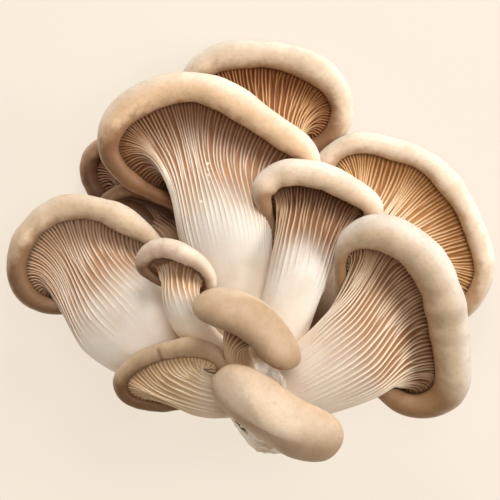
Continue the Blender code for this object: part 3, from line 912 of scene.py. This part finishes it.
def melted(name, shapes):
    """The shapes as one piece with one softened skin."""
    joined = bmesh.new()
    for shape in shapes:
        joined.from_mesh(shape.data)
        bpy.data.objects.remove(shape)
    mesh = bpy.data.meshes.new(name)
    joined.to_mesh(mesh)
    joined.free()
    piece = bpy.data.objects.new(name, mesh)
    bpy.context.scene.collection.objects.link(piece)
    remesh = piece.modifiers.new("melt", "REMESH")
    remesh.mode = "VOXEL"
    remesh.voxel_size = BASE_GRAIN * MM
    smooth = piece.modifiers.new("soften", "SMOOTH")
    smooth.factor = 0.6
    smooth.iterations = 10
    finished = bpy.data.meshes.new_from_object(piece.evaluated_get(bpy.context.evaluated_depsgraph_get()))
    piece.modifiers.clear()
    piece.data = finished
    return piece


def fused_base(forms):
    """The torn butt that the stems grow out of, melted together with their feet."""
    piece = melted("fused_base_piece", base_shapes(forms))
    bm = bmesh.new()
    bm.from_mesh(piece.data)
    for vert in bm.verts:
        p = vert.co / MM
        inside_lump = smoothstep(-44, -52, p.y - PLACE[1] / MM)
        torn = 1.3 * noise.noise(p / 5) + 0.6 * noise.noise(Vector((p.x / 1.4, p.y / 4, p.z / 1.4)))
        torn += 0.4 * abs(noise.noise(p / 2.2))
        vert.co += vert.normal * (torn * MM * float(inside_lump))
        vert.co.z = max(vert.co.z, 0)
    bm.to_mesh(piece.data)
    bm.free()
    piece.data.shade_smooth()
    return piece


def group(name, inputs, outputs):
    """An empty shader node group with its sockets, and its input and output nodes."""
    tree = bpy.data.node_groups.new(name, "ShaderNodeTree")
    for label, kind, value in inputs:
        socket = tree.interface.new_socket(label, in_out="INPUT", socket_type=kind)
        socket.default_value = value
    for label, kind in outputs:
        tree.interface.new_socket(label, in_out="OUTPUT", socket_type=kind)
    return tree, tree.nodes.new("NodeGroupInput"), tree.nodes.new("NodeGroupOutput")


def ramp(tree, source, stops):
    """Colours along a value."""
    node = tree.nodes.new("ShaderNodeValToRGB")
    elements = node.color_ramp.elements
    while len(elements) < len(stops):
        elements.new(0.5)
    for element, (at, colour) in zip(elements, stops):
        element.position = at
        element.color = (*colour, 1)
    tree.links.new(source, node.inputs["Fac"])
    return node.outputs["Color"]


def mixed(tree, factor, first, second, kind="MIX"):
    """Two colours mixed by a factor. Each is a socket or a colour."""
    node = tree.nodes.new("ShaderNodeMix")
    node.data_type = "RGBA"
    node.blend_type = kind
    for socket, value in ((node.inputs[0], factor), (node.inputs[6], first), (node.inputs[7], second)):
        if isinstance(value, bpy.types.NodeSocket):
            tree.links.new(value, socket)
        elif isinstance(value, (int, float)):
            socket.default_value = value
        else:
            socket.default_value = (*value, 1)
    return node.outputs[2]


def tinted(tree, colour, tint):
    """A colour multiplied by a tint."""
    return mixed(tree, 1.0, colour, tint, "MULTIPLY")


def reckoned(tree, operation, *values):
    """A sum on values. Each is a socket or a number."""
    node = tree.nodes.new("ShaderNodeMath")
    node.operation = operation
    for socket, value in zip(node.inputs, values):
        if isinstance(value, bpy.types.NodeSocket):
            tree.links.new(value, socket)
        else:
            socket.default_value = value
    return node.outputs[0]


def eased(tree, value, low, high, to_low=0.0, to_high=1.0):
    """A value carried smoothly from one range to another."""
    node = tree.nodes.new("ShaderNodeMapRange")
    node.interpolation_type = "SMOOTHSTEP"
    tree.links.new(value, node.inputs[0])
    for i, number in enumerate((low, high, to_low, to_high), start=1):
        node.inputs[i].default_value = number
    return node.outputs[0]


def mark(tree, name):
    """A value kept on the mesh."""
    node = tree.nodes.new("ShaderNodeAttribute")
    node.attribute_name = name
    return node.outputs["Fac"]


def mottle_group():
    """Soft clouds and fine specks, the living unevenness of mushroom skin. Sizes are in turns per metre."""
    tree, given, made = group(
        "mottle",
        [("Cloud Size", "NodeSocketFloat", 60.0), ("Speck Size", "NodeSocketFloat", 900.0)],
        [("Clouds", "NodeSocketFloat"), ("Specks", "NodeSocketFloat")],
    )
    where = tree.nodes.new("ShaderNodeTexCoord").outputs["Object"]
    for size, detail, label in (("Cloud Size", 5, "Clouds"), ("Speck Size", 3, "Specks")):
        pattern = tree.nodes.new("ShaderNodeTexNoise")
        pattern.inputs["Detail"].default_value = detail
        tree.links.new(where, pattern.inputs["Vector"])
        tree.links.new(given.outputs[size], pattern.inputs["Scale"])
        tree.links.new(pattern.outputs["Fac"], made.inputs[label])
    return tree


def placed(tree, node_group, **values):
    """A node group placed in a material with its own values."""
    node = tree.nodes.new("ShaderNodeGroup")
    node.node_tree = node_group
    for label, value in values.items():
        node.inputs[label.replace("_", " ")].default_value = value
    return node


def surface(name, roughness):
    """A material with its shader and node tree."""
    material = bpy.data.materials.new(name)
    material.use_nodes = True
    shader = material.node_tree.nodes["Principled BSDF"]
    shader.inputs["Roughness"].default_value = roughness
    shader.inputs["Specular IOR Level"].default_value = 0.35
    shader.inputs["Subsurface Weight"].default_value = 0.15
    shader.inputs["Subsurface Radius"].default_value = (1.0, 0.55, 0.3)
    shader.inputs["Subsurface Scale"].default_value = 0.0015
    return material, shader, material.node_tree


def linear(*screen):
    """A colour given in screen values of 0 to 255."""
    shares = (value / 255 for value in screen)
    return tuple(c / 12.92 if c <= 0.04045 else ((c + 0.055) / 1.055) ** 2.4 for c in shares)


def relief(tree, shader, value, distance, strength):
    """Fine relief on the surface, in metres."""
    bump = tree.nodes.new("ShaderNodeBump")
    bump.inputs["Strength"].default_value = strength
    bump.inputs["Distance"].default_value = distance
    tree.links.new(value, bump.inputs["Height"])
    tree.links.new(bump.outputs["Normal"], shader.inputs["Normal"])


def cap_skin(name, mottle, rim, tone, inner_tone_and_shade, shade):
    """The smooth skin of a cap: rim at its edge, tone on the roll, the inner tone where it turns in, shade,
    the top's own darker tone, on top. The rim is partly painted highlight and the inner tone partly painted
    shade; the dark line where the roll meets the gills and the darkening on the side facing away from the
    light are painted shade.
    """
    material, shader, tree = surface(name, 0.5)
    painted_crevice_shade, crack, speckle = linear(70, 46, 28), linear(104, 72, 46), linear(120, 86, 56)
    spots = placed(tree, mottle, Cloud_Size=70.0, Speck_Size=700.0)
    blotches = placed(tree, mottle, Cloud_Size=260.0, Speck_Size=1500.0)
    around, lit = mark(tree, "around"), mark(tree, "lit")
    # Painted shade: the browner inner tone starts further out on the side facing away from the light; the
    # large clouds make where it starts uneven, as the skin's own varying tone.
    around_with_painted_shade = reckoned(tree, "MULTIPLY_ADD", lit, -0.4, around)
    around_with_painted_shade = reckoned(tree, "MULTIPLY_ADD", eased(tree, lit, 0.3, -0.6), 0.5, around_with_painted_shade)
    around_with_painted_shade = reckoned(tree, "MULTIPLY_ADD", blotches.outputs["Clouds"], 0.9, around_with_painted_shade)
    around_with_painted_shade = reckoned(tree, "SUBTRACT", around_with_painted_shade, 0.45)
    # Palest on the rim and browner where the roll turns in: partly the skin's own tones, partly painted
    # highlight on the rim and painted shade on the inner side.
    colour = mixed(tree, eased(tree, around, 0.15, 0.85), rim, tone)
    colour = mixed(tree, eased(tree, around_with_painted_shade, 0.75, 1.6, 0.0, 0.9), colour, inner_tone_and_shade)
    # Painted shade: a dark line where the roll turns in to meet the gills.
    colour = mixed(tree, eased(tree, around, 1.75, 2.1), colour, painted_crevice_shade)
    colour = mixed(tree, eased(tree, around, 0.1, -1.4), colour, shade)
    # Painted shade: the side of the cap facing away from the light is darkened and browned.
    away = tinted(tree, colour, (0.70, 0.63, 0.56))
    colour = mixed(tree, eased(tree, lit, 0.35, -0.4), colour, away)
    colour = mixed(tree, mark(tree, "nick"), colour, crack)
    light = tinted(tree, colour, (1.04, 1.03, 1.02))
    dark = tinted(tree, colour, (0.91, 0.87, 0.82))
    colour = mixed(tree, eased(tree, spots.outputs["Clouds"], 0.35, 0.65), dark, light)
    dull = tinted(tree, colour, (0.95, 0.935, 0.92))
    colour = mixed(tree, eased(tree, blotches.outputs["Clouds"], 0.46, 0.66), colour, dull)
    colour = mixed(tree, eased(tree, spots.outputs["Specks"], 0.5, 0.75, 0.0, 0.14), colour, speckle)
    tree.links.new(colour, shader.inputs["Base Color"])
    relief(tree, shader, spots.outputs["Specks"], 0.0003, 0.35)
    return material


def gill_flesh(name, mottle, edge, between, stem, margin, foot):
    """Gills with pale edges and darker clefts, tinted towards the margin, running out into a pale stem. The
    clefts and the margin tint are partly painted shade; the dark band at the margin, the brown feet of the
    back stems and the darkening on the side facing away from the light are painted shade.
    """
    material, shader, tree = surface(name, 0.6)
    painted_crevice_shade, torn_edge = linear(84, 56, 34), linear(255, 248, 238)
    spots = placed(tree, mottle, Cloud_Size=90.0, Speck_Size=1100.0)
    ridge, place, flare = mark(tree, "ridge"), mark(tree, "place"), mark(tree, "flare")
    # The foot tone: on the stems that sit deep behind the others it is a brown that paints shade into the
    # gaps between the stems; on the rest it is the stem's own pale colour.
    stem = mixed(tree, eased(tree, place, -0.05, -0.5), stem, foot)
    # Pale gill edges and darker clefts between them: partly the flesh's own tones, partly painted shade in
    # the clefts.
    edges = mixed(tree, flare, stem, edge)
    clefts = mixed(tree, eased(tree, flare, 0.1, 0.85), stem, between)
    colour = mixed(tree, eased(tree, ridge, 0.05, 0.8), clefts, edges)
    # Darker towards the margin: partly the flesh's own tint, partly painted shade under the roll.
    colour = mixed(tree, eased(tree, place, 0.4, 1.0), colour, tinted(tree, colour, margin))
    # Painted shade: gills on the side facing away from the light are darkened, more so towards the margin.
    away = eased(tree, mark(tree, "lit"), 0.1, -0.9)
    away = reckoned(tree, "MULTIPLY", away, eased(tree, place, 0.1, 0.6))
    colour = mixed(tree, away, colour, tinted(tree, colour, (0.84, 0.78, 0.71)))
    # Painted shade: a dark band where the gills meet the roll.
    colour = mixed(tree, eased(tree, place, 0.95, 1.0, 0.0, 0.6), colour, painted_crevice_shade)
    dark = tinted(tree, colour, (0.94, 0.90, 0.85))
    colour = mixed(tree, eased(tree, spots.outputs["Clouds"], 0.4, 0.7), colour, dark)
    ragged = reckoned(tree, "MULTIPLY", mark(tree, "torn"), spots.outputs["Specks"])
    colour = mixed(tree, eased(tree, ragged, 0.18, 0.34), colour, torn_edge)
    tree.links.new(colour, shader.inputs["Base Color"])
    relief(tree, shader, spots.outputs["Specks"], 0.0003, 0.3)
    return material


def butt_flesh(mottle):
    """Off-white, fibrous and torn flesh, with stained places, crumbs of dark straw and one scrap of it."""
    material, shader, tree = surface("butt_flesh", 0.85)
    spots = placed(tree, mottle, Cloud_Size=110.0, Speck_Size=1500.0)
    straw = placed(tree, mottle, Cloud_Size=60.0, Speck_Size=420.0)
    colour = ramp(
        tree,
        spots.outputs["Clouds"],
        ((0.36, linear(226, 200, 168)), (0.5, linear(250, 238, 220)), (0.7, linear(255, 250, 240))),
    )
    crumbs = reckoned(
        tree,
        "MULTIPLY",
        eased(tree, straw.outputs["Clouds"], 0.60, 0.64),
        eased(tree, straw.outputs["Specks"], 0.50, 0.58),
    )
    colour = mixed(tree, crumbs, colour, linear(96, 84, 58))
    gap = tree.nodes.new("ShaderNodeVectorMath")
    gap.operation = "DISTANCE"
    gap.inputs[1].default_value = SCRAP * MM + PLACE
    tree.links.new(tree.nodes.new("ShaderNodeTexCoord").outputs["Object"], gap.inputs[0])
    ragged = reckoned(tree, "MULTIPLY_ADD", straw.outputs["Specks"], 0.006, gap.outputs["Value"])
    colour = mixed(tree, eased(tree, ragged, 0.0082, 0.0070), colour, linear(88, 80, 56))
    tree.links.new(colour, shader.inputs["Base Color"])
    relief(tree, shader, spots.outputs["Specks"], 0.0006, 0.6)
    return material


def pale_floor():
    """A wide floor of pale paper that glows a little, so that shadows on it stay faint."""
    bm = bmesh.new()
    bmesh.ops.create_grid(bm, x_segments=1, y_segments=1, size=6)
    mesh = bpy.data.meshes.new("floor")
    bm.to_mesh(mesh)
    bm.free()
    floor = bpy.data.objects.new("floor", mesh)
    bpy.context.scene.collection.objects.link(floor)
    material = bpy.data.materials.new("pale_paper")
    material.use_nodes = True
    shader = material.node_tree.nodes["Principled BSDF"]
    shader.inputs["Base Color"].default_value = (0.16, 0.14, 0.12, 1)
    shader.inputs["Roughness"].default_value = 0.9
    shader.inputs["Specular IOR Level"].default_value = 0.1
    shader.inputs["Emission Color"].default_value = (*linear(243, 231, 215), 1)
    shader.inputs["Emission Strength"].default_value = 0.87
    floor.data.materials.append(material)


def camera_above(distance=2.0, view_width=0.2):
    """A camera that looks straight down and takes in the view width at its distance."""
    lens = bpy.data.cameras.new("camera")
    lens.sensor_width = 36
    lens.lens = lens.sensor_width * distance / view_width
    lens.clip_start = 0.05
    camera = bpy.data.objects.new("camera", lens)
    camera.location = (PLACE[0], PLACE[1], 0.05 + distance)
    bpy.context.scene.collection.objects.link(camera)
    bpy.context.scene.camera = camera


def soft_lamps():
    """Wide lamps at one metre, most of their light coming from beyond the caps."""
    low, high = (Vector(corner) for corner in CAD_BOX)
    # Each lamp: its bearing from the far end of the cluster, its height above the floor, power and colour.
    lamps = (
        ("key_right", 80, 30, 6.8, (1.0, 0.99, 0.98)),
        ("back", 5, 36, 6.4, (1.0, 0.99, 0.98)),
        ("fill_left", 240, 30, 1.4, (1.0, 0.98, 0.96)),
        ("top", 60, 78, 3.5, (1.0, 0.98, 0.96)),
    )
    for name, bearing, height, power, colour in lamps:
        around, above = math.radians(bearing), math.radians(height)
        level = math.cos(above)
        away = Vector((math.sin(around) * level, math.cos(around) * level, math.sin(above)))
        light = bpy.data.lights.new(name, "AREA")
        light.shape = "DISK"
        light.size = 0.5
        light.energy = power
        light.color = colour
        lamp = bpy.data.objects.new(name, light)
        lamp.location = (low + high) / 2 + away
        lamp.rotation_mode = "QUATERNION"
        lamp.rotation_quaternion = (-away).to_track_quat("-Z", "Y")
        bpy.context.scene.collection.objects.link(lamp)


def dim_world():
    """A faint warm light from all round."""
    world = bpy.data.worlds.new("studio")
    world.use_nodes = True
    world.node_tree.nodes["Background"].inputs["Color"].default_value = (1, 0.8, 0.62, 1)
    world.node_tree.nodes["Background"].inputs["Strength"].default_value = 0.10
    bpy.context.scene.world = world


def design_middle(forms):
    """The middle of the cluster in the frame that its numbers are given in."""
    turns = np.arange(CURVE_SAMPLES) / CURVE_SAMPLES
    outer = np.concatenate([form.roll(turns, 0) for form in forms.values()])
    return (outer.min(axis=0) + outer.max(axis=0)) / 2


FORMS = every_form()
cad_low, cad_high = (np.array(corner) for corner in CAD_BOX)
PLACE = (cad_low + cad_high) / 2 - design_middle(FORMS) * MM
PLACE[2] = cad_low[2]

mottle = mottle_group()
for name, form in FORMS.items():
    draw = random.Random(name)
    skin = cap_skin(name + "_skin", mottle, *(linear(*tone) for tone in SKIN_TONES[name]))
    flesh = gill_flesh(name + "_flesh", mottle, *(linear(*tone) for tone in GILL_TONES[name]))
    for piece, look in ((cap(name, form, draw), skin), (gills_and_stem(name, form, draw), flesh)):
        piece.data.materials.append(look)
        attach(piece, "root")
        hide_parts(name)
base = fused_base(FORMS)
base.data.materials.append(butt_flesh(mottle))
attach(base, "root")
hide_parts("fused_base")

pale_floor()
camera_above()
soft_lamps()
dim_world()
bpy.context.scene.view_settings.view_transform = "Standard"
